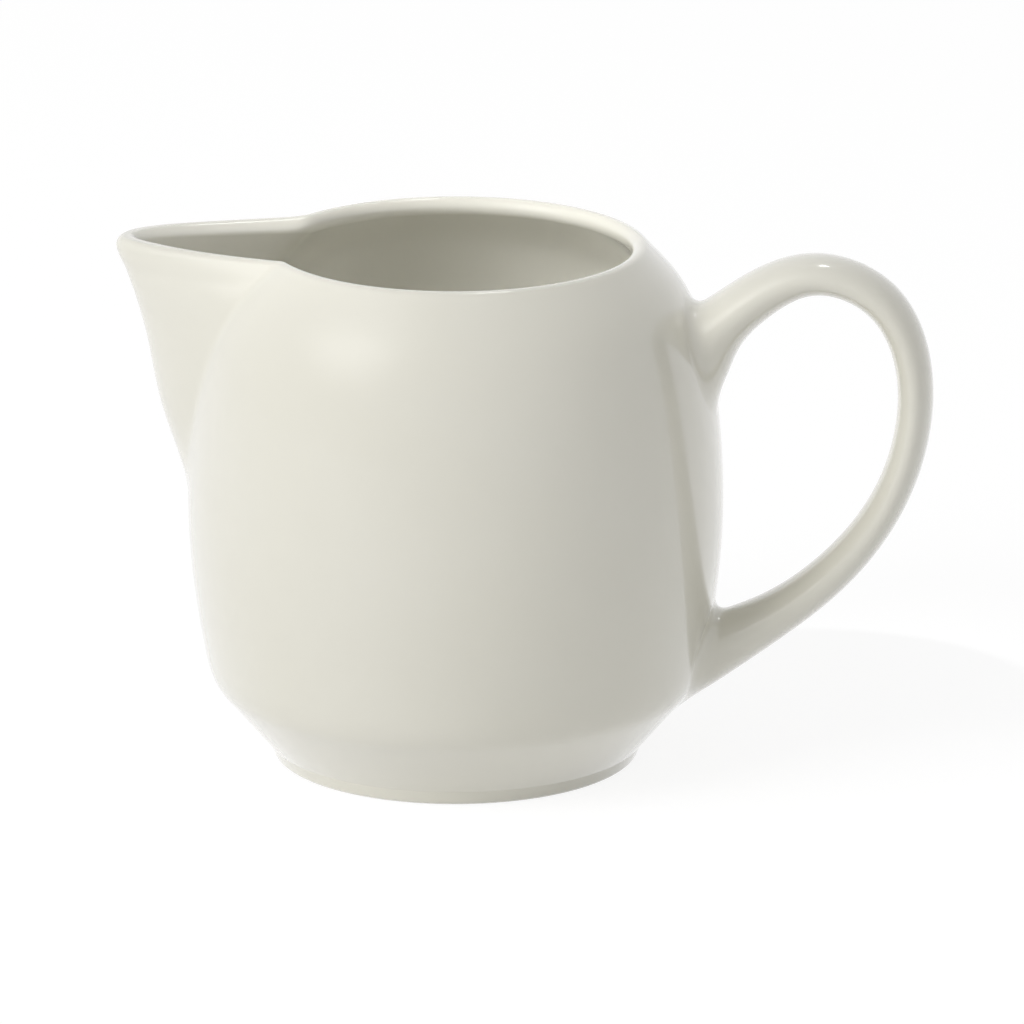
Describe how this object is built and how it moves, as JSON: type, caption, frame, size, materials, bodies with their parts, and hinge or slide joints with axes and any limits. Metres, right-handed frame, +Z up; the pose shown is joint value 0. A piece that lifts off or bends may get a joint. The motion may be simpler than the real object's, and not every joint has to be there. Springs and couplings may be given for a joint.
{
  "type": "porcelain cream jug",
  "caption": "Small rounded porcelain cream jug with a V-shaped pouring spout, a loop handle and a low foot ring.",
  "frame": {"origin": "centre of the foot ring's resting face, on the body's axis", "axes": "+Z up along the body's axis, +X towards the handle, -X towards the spout, XZ the plane of symmetry"},
  "size_m": [0.1267, 0.083, 0.0817],
  "materials": {
    "body_glaze": "smooth clear glaze on ivory porcelain",
    "spout_glaze": "smooth clear glaze on ivory porcelain",
    "handle_glaze": "smooth clear glaze on ivory porcelain",
    "foot_ring": "glazed side, bare ground resting face",
    "luting_slip": "fired slip under the glaze"
  },
  "bodies": {
    "root": {"body": "body_glaze", "spout": "spout_glaze", "foot_ring": "foot_ring", "handle": "handle_glaze", "upper_luting_slip": "luting_slip", "lower_luting_slip": "luting_slip"}
  },
  "joints": []
}
